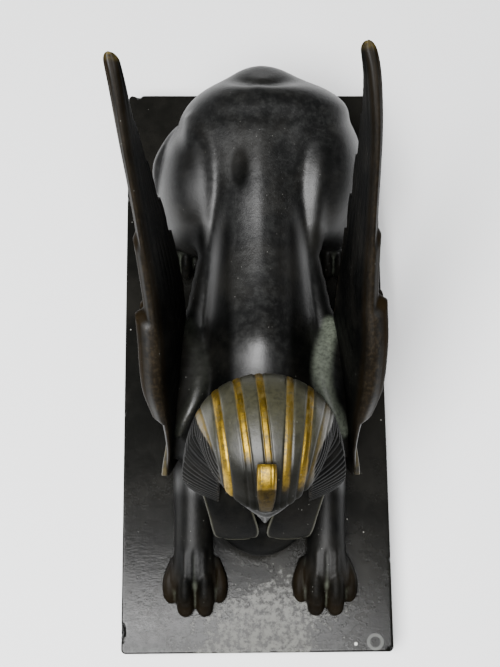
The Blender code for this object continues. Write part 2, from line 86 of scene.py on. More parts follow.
def ring_mesh(rings):
    """A closed body from an array of rings: rows by points round by xyz."""
    rows, sides = rings.shape[:2]
    mesh = bmesh.new()
    verts = [[mesh.verts.new(point) for point in ring] for ring in rings]
    for near, far in zip(verts, verts[1:]):
        for k in range(sides):
            after = (k + 1) % sides
            mesh.faces.new((near[k], near[after], far[after], far[k]))
    mesh.faces.new(verts[0][::-1])
    mesh.faces.new(verts[-1])
    bmesh.ops.recalc_face_normals(mesh, faces=mesh.faces)
    return mesh


def loft(stations, sides=28, steps=40, power=2.0):
    """A closed body through stations of x, y, z, half width along X and half heights above and below it."""
    stations = [row if len(row) == 6 else (*row, row[4]) for row in stations]
    rows = smooth_rows(stations, steps)
    centres = rows[:, :3]
    tangents = directions(np.gradient(centres, axis=0))
    across = directions(np.cross(tangents, (1, 0, 0)))
    turn = around(sides)
    wide = np.sign(np.cos(turn)) * np.abs(np.cos(turn)) ** (2 / power)
    high = np.sign(np.sin(turn)) * np.abs(np.sin(turn)) ** (2 / power)
    depth = np.where(high[None, :] > 0, rows[:, 4:5], rows[:, 5:6]) * high[None, :]
    rings = centres[:, None, :] + across[:, None, :] * depth[:, :, None]
    rings[:, :, 0] += rows[:, 3:4] * wide[None, :]
    return ring_mesh(rings)


def side_loft(side, stations, **settings):
    """A loft drawn on the figure's left, for side +1, or mirrored to its right, for -1."""
    return loft([(side * x, *others) for x, *others in stations], **settings)


def ellipsoid(centre, radii, lean=0.0):
    """A ball of three radii, leant about X by some degrees."""
    place = (
        Matrix.Translation(Vector(centre))
        @ Matrix.Rotation(math.radians(lean), 4, "X")
        @ Matrix.Diagonal((*radii, 1))
    )
    mesh = bmesh.new()
    bmesh.ops.create_uvsphere(mesh, u_segments=40, v_segments=26, radius=1, matrix=place)
    return mesh


def both_sides(make):
    """What make(side) gives on the figure's left, +1, and on its right, -1."""
    return make(1) + make(-1)


def as_mesh(made, name):
    mesh = bpy.data.meshes.new(name)
    made.to_mesh(mesh)
    made.free()
    return mesh


def mesh_of(pieces):
    joined = bmesh.new()
    for piece in pieces:
        part = as_mesh(piece, "piece")
        joined.from_mesh(part)
        bpy.data.meshes.remove(part)
    return as_mesh(joined, "joined")


def add_object(name, data):
    """A new object in the scene that shows the given mesh, curve, lamp or camera."""
    made = bpy.data.objects.new(name, data)
    bpy.context.scene.collection.objects.link(made)
    return made


def evaluated(mesh, modifiers):
    """The mesh after a list of modifiers, each a type and its settings."""
    carrier = add_object("carrier", mesh)
    for kind, settings in modifiers:
        modifier = carrier.modifiers.new(kind.title(), kind)
        for setting, value in settings.items():
            setattr(modifier, setting, value)
    graph = bpy.context.evaluated_depsgraph_get()
    done = bpy.data.meshes.new_from_object(carrier.evaluated_get(graph))
    bpy.data.objects.remove(carrier, do_unlink=True)
    bpy.data.meshes.remove(mesh)
    return done


def fused(pieces, voxel, smoothing):
    """One skin round all the pieces, smoothed so that they flow together."""
    return evaluated(
        mesh_of(pieces),
        [
            ("REMESH", {"mode": "VOXEL", "voxel_size": voxel}),
            ("SMOOTH", {"factor": 0.5, "iterations": smoothing}),
        ],
    )


def as_bmesh(mesh):
    made = bmesh.new()
    made.from_mesh(mesh)
    bpy.data.meshes.remove(mesh)
    return made


def points_of(mesh):
    co = np.empty(len(mesh.vertices) * 3)
    mesh.vertices.foreach_get("co", co)
    normals = np.empty(len(mesh.vertices) * 3)
    mesh.vertex_normals.foreach_get("vector", normals)
    return co.reshape(-1, 3), normals.reshape(-1, 3)


def set_points(mesh, co):
    mesh.vertices.foreach_set("co", np.ascontiguousarray(co, dtype=np.float32).ravel())
    mesh.update()


def near_path(co, path):
    """How far each point is from the nearest point of a path."""
    best = np.full(len(co), 1e9)
    for place in path:
        best = np.minimum(best, ((co - place) ** 2).sum(axis=1))
    return np.sqrt(best)


def give(mesh, name, values):
    """A value for each point of the mesh, which its finish reads by name."""
    attribute = mesh.attributes.get(name) or mesh.attributes.new(name, "FLOAT", "POINT")
    attribute.data.foreach_set("value", np.ascontiguousarray(values, dtype=np.float32))


def step(low, high, values):
    """0 below low, 1 above high, and smooth between."""
    t = np.clip((values - low) / (high - low), 0, 1)
    return t * t * (3 - 2 * t)


def hill(distance, width):
    return np.exp(-((distance / width) ** 2))


# The lion


def torso():
    return loft(
        [
            (1.4, 97.2, 38, 5, 5),
            (2.2, 95.6, 36, 13.5, 10.5),
            (3.4, 92.0, 34, 23, 15.5),
            (3.6, 86.5, 31.5, 29.5, 19),
            (2.0, 79, 28.5, 31, 22),
            (0.8, 66, 25.5, 27, 24.5),
            (0, 50, 24, 21, 25.0),
            (0, 34, 23, 19, 24.5),
            (0, 16, 22.5, 20, 25.3),
            (0, 2, 23, 21, 27.0),
            (0, -7, 23.5, 21.5, 27.8),
            (0, -16, 24, 22, 26.0),
            (0, -30, 25, 22.5, 25.5),
            (0, -44, 25, 22.5, 24),
            (0, -54, 23, 19, 18, 24),
            (0, -61, 20, 17, 15.5, 20),
            (0, -66.4, 18.5, 14, 12, 18.5),
            (0, -69.8, 17, 9.5, 8.5, 16),
            (0, -71.2, 16, 4, 4, 8),
        ],
        sides=48,
        steps=90,
    )


def haunch(side):
    """A hind leg folded beside the belly: the figure's left one lies a little further back and fuller."""
    if side > 0:
        thigh = ellipsoid((22.5, 65, 21), (16.6, 27, 23.4))
    else:
        thigh = ellipsoid((-22, 59, 21), (14.4, 25, 23.4))
    knee = ellipsoid((side * 28, 47, 19), (8.2, 8, 15), lean=-16)
    shank = side_loft(side, [(29, 44, 15, 7, 8), (31, 62, 11, 6, 9), (29, 82, 6, 5, 6)])
    foot = side_loft(
        side,
        [
            (29.5, 86, 4, 4.5, 4),
            (30, 70, 3.5, 5.5, 5.5),
            (29, 46, 3, 6, 6.5),
            (28, 37, 3, 6.6, 6),
        ],
    )
    return [thigh, knee, shank, foot, flank_ridge(side)]


def flank_ridge(side):
    """The soft ridge that runs from the hip bone into the fold of the flank."""
    return side_loft(
        side,
        [
            (21.0, 80, 36.6, 6.0, 4.0),
            (20.8, 70, 39.6, 6.4, 5.2),
            (20.2, 60, 39.4, 6.4, 6.0),
            (19.4, 51, 36.2, 6.0, 6.8),
            (18.8, 43, 31.3, 5.2, 7.6),
            (18.4, 34, 26.0, 4.6, 8.0),
        ],
        steps=50,
    )


def foreleg(side):
    shoulder = ellipsoid((side * 21, -30, 19), (8.6, 19, 15), lean=10)
    leg = side_loft(
        side,
        [
            (22.5, -12, 8, 6, 9),
            (23, -26, 9, 8, 12),
            (23.2, -44, 8.5, 7.6, 11),
            (23.4, -60, 7, 7, 9.5),
            (23.4, -73, 6, 7.2, 7.5),
            (23.2, -81, 4, 9.2, 6.5),
            (23.2, -86.5, 2.5, 8, 4),
        ],
        steps=50,
    )
    return [shoulder, leg]


def wing_seat(side):
    """The wing's root beside the back, its raised edge and the fold of skin that runs back from it."""
    root = side_loft(
        side,
        [
            (25.4, 7, 22, 3.0, 6),
            (25.4, 2, 25, 4.6, 10),
            (25.6, -8, 27, 5.6, 12.5),
            (26.0, -18, 28, 5.8, 13),
            (27.0, -27, 27, 5.4, 12),
            (28.2, -34, 24, 4.2, 9),
            (29.0, -39, 21, 3.0, 6),
        ],
        steps=50,
    )
    rim = side_loft(
        side,
        [
            (25.2, 5.5, 30.0, 1.8, 2.6),
            (23.6, 1, 32.2, 2.2, 2.8),
            (21.8, -5, 35.0, 2.8, 3.2),
            (20.6, -12, 37.8, 3.4, 3.4),
            (21.0, -19, 39.8, 3.2, 3.4),
            (23.0, -25.5, 40.4, 2.6, 3.2),
            (25.8, -30, 39.0, 2.2, 3.0),
            (28.2, -35, 35.5, 1.8, 2.6),
        ],
        steps=60,
    )
    fold = side_loft(
        side,
        [
            (15.6, 41, 31.5, 3.6, 4.0, 8.0),
            (17.0, 32, 29.8, 4.2, 4.4, 9.0),
            (18.9, 22, 28.6, 4.6, 4.8, 9.0),
            (20.8, 12, 28.4, 4.6, 5.0, 9.0),
            (22.6, 4, 29.0, 4.2, 4.6, 9.0),
            (23.4, -3, 29.6, 3.6, 4.2, 8.0),
        ],
    )
    return [root, rim, fold]


# Sections of a toe from its knuckle to its end, in shares of its length, width and height: how far behind its
# end, how far it is drawn in (in units), half width, height of its middle and half height.
middle_toe = [
    (1.75, 0, 0.44, 0.60, 0.50),
    (1.20, 0, 0.49, 0.62, 0.60),
    (0.80, 0, 0.50, 0.58, 0.58),
    (0.52, 0, 0.485, 0.46, 0.46),
    (0.30, 0, 0.48, 0.38, 0.40),
    (0.10, 0, 0.41, 0.28, 0.28),
    (0, 0, 0.20, 0.20, 0.14),
]
outer_toe = [
    (2.40, 1.8, 0.22, 0.34, 0.30),
    (1.90, 0.7, 0.32, 0.36, 0.36),
    (1.45, 0, 0.39, 0.35, 0.36),
    (1.00, 0, 0.40, 0.31, 0.33),
    (0.68, 0.2, 0.33, 0.24, 0.25),
    (0.50, 0.7, 0.16, 0.16, 0.13),
]


# Where the toes lie across a paw, in shares of a toe's width from its middle
toe_row = [(-1.43, outer_toe), (-0.545, middle_toe), (0.545, middle_toe), (1.43, outer_toe)]

# End, middle, toe width, toe length and height of the paws
fore_paw = (-92.6, 22.9, 6.3, 8.2, 9.5)
hind_paw = (30.6, 28.6, 4.2, 6.0, 8.0)


def toes(side, end, middle, width, length, height):
    """Four toes: two long ones in the middle and a lower one, lying further back, on either side."""
    made = []
    for apart, sections in toe_row:
        stations = []
        for back, drawn_in, half_width, up, half_height in sections:
            x = side * (middle + apart * width - math.copysign(drawn_in, apart))
            stations.append((x, end + back * length, up * height, half_width * width, half_height * height))
        made.append(loft(stations, power=2.2))
    return made


# Near where the tail runs: down the back of the rump and up over the right haunch.
tail_route = [
    (1.3, 97.5, 33),
    (1.0, 97.5, 28),
    (-0.5, 97, 22.5),
    (-4.5, 95.5, 17),
    (-10, 95, 15),
    (-18, 92, 13),
    (-25, 87, 18),
    (-30, 80, 25),
    (-34, 72, 28),
    (-36, 64, 27),
    (-36, 56, 24),
]
# The tail's radius, how deep it starts under the skin, how far it rises after, and its tuft
tail_radius, tail_start_depth, tail_rise = 2.5, 4.4, 3.6
tuft_at, tuft_length, tuft_swell = 0.88, 0.08, 0.55


def tail(skin):
    """A tube laid on the skin near the tail's route, thinner towards its end and with a tuft there."""
    surface = BVHTree.FromBMesh(skin)
    path = bpy.data.curves.new("tail_path", "CURVE")
    path.dimensions = "3D"
    path.bevel_depth = tail_radius
    path.bevel_resolution = 6
    path.use_fill_caps = True
    points = smooth_rows(tail_route, 90)
    spline = path.splines.new("POLY")
    spline.points.add(len(points) - 1)
    for index, (point, place) in enumerate(zip(spline.points, points)):
        along = index / (len(points) - 1)
        nearest, outward, _, _ = surface.find_nearest(Vector(place))
        laid = nearest + outward * (tail_rise * min(1.0, 12 * along) - tail_start_depth)
        point.co = (*laid, 1)
        point.radius = 1.2 - 0.4 * along + tuft_swell * hill(along - tuft_at, tuft_length)
    carrier = add_object("tail_path", path)
    graph = bpy.context.evaluated_depsgraph_get()
    mesh = bpy.data.meshes.new_from_object(carrier.evaluated_get(graph))
    bpy.data.objects.remove(carrier, do_unlink=True)
    made = as_bmesh(mesh)
    bmesh.ops.remove_doubles(made, verts=made.verts, dist=0.001)
    return made


def neck():
    return loft([(0, -34, 36, 15, 15), (0, -42, 50, 14, 14), (0, -47, 62, 13, 13)])


def breast(side):
    """The swell of the chest under a lappet."""
    return [ellipsoid((side * 8.6, -57.0, 31), (7.6, 8.6, 9))]


# The dent in the back, on the right of the spine
back_hollow_x, back_hollow_y = -6.8, 57


def muscle_relief(co, normals):
    """How far the skin of back, haunches and legs stands out or sinks, point by point."""
    x, y, z = co.T
    side = np.abs(x)
    up = step(0.15, 0.6, normals[:, 2])
    back = up * step(-14, 0, y) * step(96, 84, y) * step(30, 38, z)
    spine = 0.4 * hill(x, 3.2) * back
    loins = 0.6 * hill(side - 10, 5.0) * back * hill(y - 62, 20)
    hollow = 0.8 * hill(x - back_hollow_x, 3.0) * hill(y - back_hollow_y, 6.5) * up
    withers = 0.9 * hill(x, 6.5) * hill(y + 8, 9) * up
    flank = step(0.75, 0.2, np.abs(normals[:, 2])) * step(14, 20, side)
    flank *= step(-8, 0, y) * step(34, 24, y) * step(12, 20, z)
    ribs = 0.10 * np.sin((y + 0.35 * z) * 1.05) * flank
    knuckle = step(-70, -73, y) * step(-83, -79, y) * up
    tendons = 0.45 * (hill(side - 19.6, 0.9) + hill(side - 26.4, 0.9)) * knuckle
    groove = 0.55 * hill(side - 23.0, 0.8) * step(-70, -74, y) * step(-86, -82, y) * up
    return spine - loins - hollow + withers + ribs + tendons - groove


def cut_flat(made):
    """Cuts the casting off flat where it meets the plinth."""
    bmesh.ops.bisect_plane(
        made,
        geom=made.verts[:] + made.edges[:] + made.faces[:],
        dist=0.0001,
        plane_co=(0, 0, 0),
        plane_no=(0, 0, -1),
        clear_outer=True,
    )
    rim = [edge for edge in made.edges if edge.is_boundary]
    bmesh.ops.holes_fill(made, edges=rim, sides=0)
    bmesh.ops.recalc_face_normals(made, faces=made.faces)


def lion_mesh():
    masses = [torso(), neck()]
    masses += both_sides(haunch)
    masses += both_sides(foreleg)
    masses += both_sides(breast)
    masses += both_sides(wing_seat)
    skin = as_bmesh(fused(masses, mass_voxel, mass_smoothing))
    details = both_sides(lambda side: toes(side, *fore_paw))
    details += both_sides(lambda side: toes(side, *hind_paw))
    details += [tail(skin)]
    mesh = fused([skin, *details], skin_voxel, skin_smoothing)
    co, normals = points_of(mesh)
    set_points(mesh, co + normals * muscle_relief(co, normals)[:, None])
    made = as_bmesh(mesh)
    cut_flat(made)
    mesh = as_mesh(made, "lion")
    age_and_shade_lion(mesh)
    return mesh


# How strongly creases and raised edges show in the finish
crease_gain, wear_gain = 10, 9

# The seam of the left wing's root, which the green follows
wing_seam = [(25, 4, 34), (21.8, -5, 38), (20.6, -12, 41), (21, -19, 43), (23.4, -26, 43.4), (28, -35, 38)]


def age_and_shade_lion(mesh):
    """Where the lion's skin is brown, green or duller: green by the left wing's seam and low in the creases.
    The duller value is also painted shade beside the back under the wings, on the chest under the head, in
    the back's dent and a little over the middle of the back.
    """
    co, _ = points_of(mesh)
    x, y, z = co.T
    side = np.abs(x)
    seam = smooth_rows(wing_seam, 60)
    left_seam = 0.7 * step(4.8, 1.2, near_path(co, seam))
    right_seam = 0.05 * step(4.4, 1.6, near_path(co, seam * (-1, 1, 1)))
    creases = 0.55 * np.clip(-convexity(mesh) * crease_gain - 0.2, 0, 1) * step(20, 9, z)
    give(mesh, "verdigris", np.maximum(left_seam + right_seam, creases))
    give(mesh, "brown", 0.6 * step(-72, -80, y) * step(12, 7, z))
    # Painted shade: the sides of the back under the wings are made duller and darker, but not along the
    # flank's fold.
    fold = hill(side - 20 + 0.12 * y, 3.0) * step(24, 29, z)
    painted_shade_under_wings = step(7, 12, side) * (1 - 0.85 * fold) * step(46, 34, y) * step(-50, -40, y)
    legs = 0.7 * step(-46, -54, y) * step(15, 17, side) + 0.3 * step(-78, -86, y)
    # Painted shade: the chest under the head is made duller and darker.
    chest = step(-48, -52, y) * step(17, 15, side)
    thighs = (0.3 + 0.3 * hill(side - 24, 4)) * step(9, 16, side) * step(34, 42, y) * step(74, 62, y)
    # Painted shade: the dent in the back is made duller and darker, and the middle of the back a little too.
    hollow = 0.6 * step(0.15, 0.7, hill(x - back_hollow_x, 3.4) * hill(y - back_hollow_y, 8.5))
    hollow += 0.2 * step(10, 25, y) * step(80, 60, y)
    give(mesh, "dull_and_painted_shade", np.maximum.reduce([painted_shade_under_wings, legs, chest, thighs, hollow]))


# The head and its headcloth

# Sections of the headcloth: height, where it is widest, half width there, how far it reaches to the front and
# to the back of that line, how pointed its front is, and where its front is cut off beside the face.
cloth_sections = [
    (89.05, -43.0, 0.3, 0.4, 0.4, 2.0, -75.0),
    (88.95, -43.0, 2.4, 3.0, 3.0, 2.0, -75.0),
    (88.5, -43.0, 5.2, 6.0, 6.2, 2.0, -75.0),
    (87.6, -43.0, 8.5, 9.0, 9.3, 2.0, -75.0),
    (85.4, -43.0, 13.0, 13.3, 13.8, 2.0, -75.0),
    (82.0, -42.6, 16.8, 17.2, 17.4, 2.0, -75.0),
    (78.0, -41.4, 19.2, 21.6, 18.4, 1.9, -75.0),
    (74.8, -39.6, 20.6, 26.0, 17.2, 1.75, -75.0),
    (72.0, -39.4, 21.8, 23.5, 17.2, 1.5, -57.0),
    (69.0, -42.0, 23.4, 18.5, 19.4, 1.3, -53.0),
    (66.0, -45.8, 24.8, 16.5, 22.6, 1.25, -52.5),
    (62.0, -49.6, 25.7, 12.5, 25.4, 1.25, -52.5),
    (58.0, -52.2, 26.0, 10.0, 26.6, 1.25, -52.5),
    (54.0, -53.6, 25.4, 9.0, 25.4, 1.3, -52.5),
    (50.0, -54.0, 23.8, 8.0, 23.0, 1.5, -52.5),
    (47.5, -53.0, 21.0, 6.0, 19.0, 1.8, -52.5),
]


temple_height, hem_height = 71, 52


def skull_share(x, y, z):
    """1 on the banded cloth over the skull, which reaches down to the hem behind."""
    low = temple_height - (temple_height - hem_height) * step(-36, -33, y)
    return (1 - flap_share(x, y, z)) * step(low - 1, low + 1, z)


pleat_spacing, pleat_depth = 1.55, 0.32
band_cut_depth, band_cut_width = 0.34, 0.33


def cloth_relief(x, y, z):
    """The cloth's carving: fine level pleats on the flaps, and cut lines along both edges of each band."""
    pleats = -pleat_depth * (0.5 + 0.5 * np.cos(2 * np.pi * z / pleat_spacing)) ** 2
    edges = np.zeros_like(x)
    for back, front, _, _ in skull_bands:
        apart = np.abs(x - band_line(back, front, y)) - band_half_width
        edges -= band_cut_depth * hill(apart, band_cut_width)
    return flap_share(x, y, z) * pleats + skull_share(x, y, z) * edges


# The bands over the skull: where each runs at its back and at its front end, how much gilding it keeps, and
# where towards the brow the gilding is worn off.
skull_bands = [
    (-22.1, -15.0, 0.30, -54),
    (-15.5, -11.9, 1.00, -60),
    (-8.5, -5.1, 0.90, -50),
    (-1.5, 1.0, 0.80, -50),
    (7.4, 5.8, 0.45, -58),
    (14.1, 10.8, 0.65, -57),
    (20.6, 13.5, 0.10, -56),
]
band_half_width = 1.15
bands_back_y, bands_front_y = -30.0, -57.0

# Half width of the line between skull and flaps in front and behind, and of the opening for the face
flap_line_front, flap_line_back = 14.5, 21.5
face_opening = (14.0, 15.2)


def band_line(back, front, y):
    return back + (front - back) * (y - bands_back_y) / (bands_front_y - bands_back_y)


def flap_share(x, y, z):
    """1 on the flaps beside the face, 0 over the skull: the line between them falls back from the temples."""
    side = np.abs(x)
    line = flap_line_front + (flap_line_back - flap_line_front) * step(-54, -34, y)
    return step(-0.4, 0.4, side - line) * step(-33, -35.5, y)


def headcloth_mesh(rows=230, sides=330):
    levels = smooth_rows(cloth_sections, rows)
    turn = around(sides) + 0.5 * math.pi
    cosine, sine = np.cos(turn)[None, :], np.sin(turn)[None, :]
    z, widest, half, front, back, power, cut = (levels[:, k : k + 1] for k in range(7))
    power = np.where(sine < 0, power, 2.1)
    x = half * np.sign(cosine) * np.abs(cosine) ** (2 / power)
    y = widest + np.where(sine < 0, front, back) * np.sign(sine) * np.abs(sine) ** (2 / power)
    y = np.maximum(y, cut - 30 * step(*face_opening, np.abs(x)))
    rings = np.stack([x, y, np.broadcast_to(z, x.shape)], axis=2)
    mesh = as_mesh(ring_mesh(rings), "headcloth")
    co, normals = points_of(mesh)
    x, y, z = co.T
    set_points(mesh, co + normals * cloth_relief(x, y, z)[:, None])
    skull = skull_share(x, y, z)
    gilt = np.zeros(len(co))
    for back, front, kept, worn_from in skull_bands:
        spread = np.abs(x - band_line(back, front, y))
        inside = step(band_half_width + 0.1, band_half_width - 0.25, spread)
        gilt = np.maximum(gilt, inside * kept * step(worn_from - 3, worn_from + 3, y))
    give(mesh, "gilt", gilt * skull)
    # Painted shade: the olive patina is left off the front of the skull, and the front is made duller, where
    # the cloth slopes forward. The flaps are duller too.
    give(mesh, "olive_and_painted_light", skull * (0.05 + 0.95 * step(-58, -34, y)))
    give(mesh, "dull_and_painted_shade", np.maximum(0.2 + 0.7 * step(-46, -60, y), 0.8 * (1 - skull)))
    return mesh


def bump(x, z, at_x, at_z, wide, high):
    return np.exp(-(((x - at_x) / wide) ** 2) - ((z - at_z) / high) ** 2)


eye_x, eye_z, eye_half = 5.2, 67.0, 2.75
nose_root_z, nose_end_z = 70.0, 58.8
lips_z = 55.2


def face_relief(x, z):
    """How far the face stands out from its egg, on a general canon: brow to nose as long as nose to chin."""
    side = np.abs(x)
    slope = np.clip((nose_root_z - z) / 10.0, 0, 1)
    end = 1 / (1 + np.exp(-(z - nose_end_z) * 3.4))
    width = 1.25 + 0.75 * slope
    nose = (0.9 + 3.5 * slope) * end * hill(side, width) * step(73.5, 71, z)
    nose += 1.15 * bump(side, z, 2.35, 60.0, 0.95, 1.15)
    nose -= 0.9 * bump(side, z, 1.15, 58.6, 0.55, 0.4)
    socket = -1.9 * bump(side, z, 4.9, 67.4, 3.4, 2.1)
    almond = np.sqrt(np.clip(1 - ((side - eye_x) / eye_half) ** 2, 0, 1))
    lid_line = eye_z + 1.15 * almond
    low_line = eye_z - 0.85 * almond
    within = step(2.9, 2.5, np.abs(side - eye_x))
    ball = 1.55 * bump(side, z, eye_x, 66.95, 2.6, 1.5)
    upper = 0.5 * hill(z - lid_line - 0.1, 0.38) * within
    lower = 0.35 * hill(z - low_line + 0.1, 0.32) * within
    fold = -0.3 * hill(z - lid_line - 0.95, 0.3) * within
    brow = 0.95 * bump(side, z, 4.9, 70.7 - 0.035 * (side - 4.5) ** 2, 4.3, 0.75)
    cheek = 0.9 * bump(side, z, 7.4, 61.8, 3.6, 3.6)
    upper_lip = 0.95 * hill(z - (56.2 - 0.03 * side**2), 0.85) * hill(side, 3.2)
    upper_lip -= 0.2 * bump(x, z, 0, 57.0, 0.6, 0.5)
    lower_lip = 1.0 * hill(z - (54.2 + 0.03 * side**2), 0.9) * hill(side, 2.7)
    mouth = -0.5 * hill(z - lips_z, 0.3) * hill(side, 3.3)
    groove = -0.2 * bump(x, z, 0, 58.0, 0.6, 0.7)
    hollow = -0.35 * bump(x, z, 0, 52.3, 3.0, 1.0)
    chin = 1.1 * bump(x, z, 0, 49.6, 4.4, 2.8)
    eye = socket + ball + upper + lower + fold
    lips = upper_lip + lower_lip + mouth + groove
    return nose + eye + brow + cheek + lips + hollow + chin


def face_mesh(columns=170, rows=210):
    """The face as a shell on the head: an egg with the relief on it, its rim inside the headcloth."""
    half_width, depth, half_height, rim = 13.4, 15.5, 19.5, 0.4
    middle_y, middle_z = -47.5, 63.5
    rise = np.sin(np.pi * (np.linspace(0, 1, rows) - 0.5))[:, None]
    z = np.repeat(middle_z + rise * half_height, columns, axis=1)
    reach = half_width * np.sqrt(np.clip(1 - rise**2, 0, 1)) + rim
    x = reach * np.sin(np.pi * (np.linspace(0, 1, columns) - 0.5))[None, :]
    egg = np.clip(1 - (x / (half_width + rim)) ** 2 - rise**2, 0, 1)
    y = middle_y - depth * np.sqrt(egg) - face_relief(x, z) * np.minimum(1, 2.2 * egg)
    mesh = bmesh.new()
    front = [[mesh.verts.new(p) for p in row] for row in np.stack([x, y, z], axis=2)]
    for low, high in zip(front, front[1:]):
        for k in range(columns - 1):
            mesh.faces.new((low[k], low[k + 1], high[k + 1], high[k]))
    bmesh.ops.recalc_face_normals(mesh, faces=mesh.faces)
    return as_mesh(mesh, "face")


lappet_border = 0.34


def lappet(side, sides=120, steps=160):
    """One of the two ends of the cloth that hang over the chest, its face duller and darker as painted shade,
    its raised border lighter olive and glossier as a painted highlight.
    """
    cloth = side_loft(
        side,
        [
            (15.0, -50, 54, 7.0, 4.0),
            (12.4, -56.5, 50, 7.2, 3.0),
            (10.2, -62.3, 44.5, 7.6, 2.5),
            (9.0, -66.0, 39.5, 7.8, 2.1),
            (8.6, -67.8, 36.0, 7.0, 1.7),
            (8.4, -68.3, 34.2, 4.4, 1.2),
        ],
        sides=sides,
        steps=steps,
        power=3.0,
    )
    mesh = as_mesh(cloth, "lappet")
    co, normals = points_of(mesh)
    wide = np.tile(np.abs(np.cos(around(sides))), steps)
    along = np.repeat(np.linspace(0, 1, steps), sides)
    outer = np.maximum(step(-0.3, 0.2, normals[:, 2]), step(0.2, -0.3, normals[:, 1]))
    border = np.maximum(hill(wide - 0.90, 0.05), hill(along - 0.968, 0.018)) * outer
    set_points(mesh, co + normals * (lappet_border * border)[:, None])
    # Painted shade on the lappet's face, and a painted highlight along its border.
    give(mesh, "dull_and_painted_shade", 1 - 0.6 * border)
    give(mesh, "olive_and_painted_light", 0.8 * border)
    return mesh


cobra_line_spacing, cobra_line_depth = 1.25, 0.16


def cobra_mesh():
    """The royal cobra on the brow: a broad raised head with cut lines over a short dark throat."""
    made = loft(
        [
            (-0.2, -63.4, 72, 2.0, 1.4),
            (-0.2, -63.9, 76, 2.1, 1.5),
            (-0.2, -63.2, 79.6, 2.3, 1.6),
            (-0.2, -61.2, 82.8, 2.8, 2.0),
            (-0.2, -58.2, 85.8, 2.9, 2.3),
            (-0.2, -54.9, 87.4, 3.0, 2.3),
            (-0.2, -52.8, 87.6, 2.8, 2.0),
        ],
        sides=64,
        steps=120,
        power=3.6,
    )
    mesh = as_mesh(made, "cobra")
    co, normals = points_of(mesh)
    head = step(-60.6, -59.4, co[:, 1])
    lines = 0.5 + 0.5 * np.cos(2 * np.pi * co[:, 0] / cobra_line_spacing)
    cut = cobra_line_depth * lines**3 * head * step(0.2, 0.6, normals[:, 2])
    set_points(mesh, co - normals * cut[:, None])
    give(mesh, "gilt", 0.06 + 0.7 * head)
    give(mesh, "dull_and_painted_shade", 1 - head)
    return mesh


# The headband: half its span, Y of its ends and its point, its heights, its section and slant, and how far
# its ends lie back inside the cloth
band_reach, band_back, band_apex = 18.6, -46.5, -65.2
band_side_height, band_brow_height = 70.6, 73.2
band_thickness, band_width, band_slant = 1.2, 2.5, 0.75
band_tuck = 4.5


def headband_mesh(sides=40, steps=220):
    """The band of double lines round the forehead, pointed over the brow, its ends tucked into the cloth."""
    across = np.sin(np.radians(np.linspace(-90, 90, steps))) * band_reach
    inward = np.abs(across) / band_reach
    y = band_back + (band_apex - band_back) * (1 - inward**1.45) + band_tuck * step(0.72, 1.0, inward)
    z = band_side_height + (band_brow_height - band_side_height) * (1 - inward**2)
    centre = np.stack([across, y, z], axis=1)
    tangent = np.gradient(centre, axis=0)
    up = np.array((0, 0, 1.0))
    outward = directions(np.cross(tangent, up))
    outward *= -np.sign(outward[:, 1:2])
    turn = around(sides)
    lines = 1 - 0.09 * (1 + np.cos(6 * turn))
    lean = directions(up - band_slant * outward)
    facing = directions(outward + band_slant * up)
    rings = centre[:, None, :] + facing[:, None, :] * (band_thickness * lines * np.cos(turn))[None, :, None]
    rings += lean[:, None, :] * (band_width * lines * np.sin(turn))[None, :, None]
    mesh = as_mesh(ring_mesh(rings), "headband")
    give(mesh, "dull_and_painted_shade", np.full(len(mesh.vertices), 0.25))
    return mesh


# The wings

# The wing's front and back edges from root to tip, as Y and Z, then how far out along X each edge lies and
# how far the outer and the inner face swell
wing_front = [
    (-46.5, 20),
    (-45.5, 29),
    (-41, 38),
    (-34, 48),
    (-26, 58),
    (-14, 68),
    (1, 77),
    (21, 91),
    (42, 106),
    (58, 115),
    (67, 119),
]
wing_back = [
    (-34, 15),
    (-20, 17),
    (-8, 22),
    (2, 29),
    (12, 36),
    (22, 44),
    (33, 55),
    (43, 68),
    (53, 85),
    (61, 102),
    (67.5, 117.5),
]
front_half_span = [32.2, 31.8, 31.0, 31.6, 33.4, 34, 34.4, 36.0, 37.8, 38.2, 37.8]
back_half_span = [26, 26, 26, 26.4, 27.4, 28.6, 30.4, 33, 35.6, 37.4, 37.7]
outer_swell = [0.9, 0.9, 0.8, 1.2, 2.8, 3.0, 2.8, 2.5, 2.4, 2.3, 2.1]
inner_swell = [0.6, 0.6, 0.7, 1.6, 3.0, 2.9, 2.8, 2.7, 2.8, 3.0, 2.9]

# Where the rows of feathers begin and end along the wing, as shares of its length, and how thick they lie
covert_start = 0.30
secondary_end = 0.668
covert_depth, secondary_depth = 3.2, 1.3
row_tips = 4
row_slant = 0.08


def row_depth(along, across, end, tips, depth):
    """How thick a row of feathers lies at a place on the wing: full before its scalloped end, then none."""
    scallop = 0.03 * np.abs(np.sin(np.pi * across * tips))
    return depth * np.clip((end + scallop - row_slant * across - along) / 0.010, 0, 1)


def covert_swell(along, across):
    """The short feathers swell over the shoulder of the wing, full at once at their round lower end."""
    start = np.clip((along - covert_start - 0.05 * across) / 0.012, 0, 1)
    return np.sqrt(start) * (0.80 + 0.20 * np.sin(np.pi * np.clip((along - covert_start) / 0.36, 0, 1)))


def blade_profile(across):
    front = np.minimum(1.0, across / 0.3)
    return np.sqrt(np.clip(1 - (1 - front) ** 2, 0, 1)) * (1 - 0.7 * np.maximum(0.0, across - 0.3))


tip_start = 0.965
feather_ends = [0.60, 0.68, 0.76, 0.84, 0.92]


def feather_tips(along):
    """How far the back edge falls short of its outline: each long feather ends a little before the next."""
    short = np.zeros_like(along)
    for end in feather_ends:
        short = np.maximum(short, 0.10 * step(end - 0.004, end, along) * step(end + 0.075, end, along))
    return short


feathers_across = 7
scale_rows = 26
wing_chord = 34
groove_depth, shaft_height, scale_height = 0.42, 0.14, 0.34


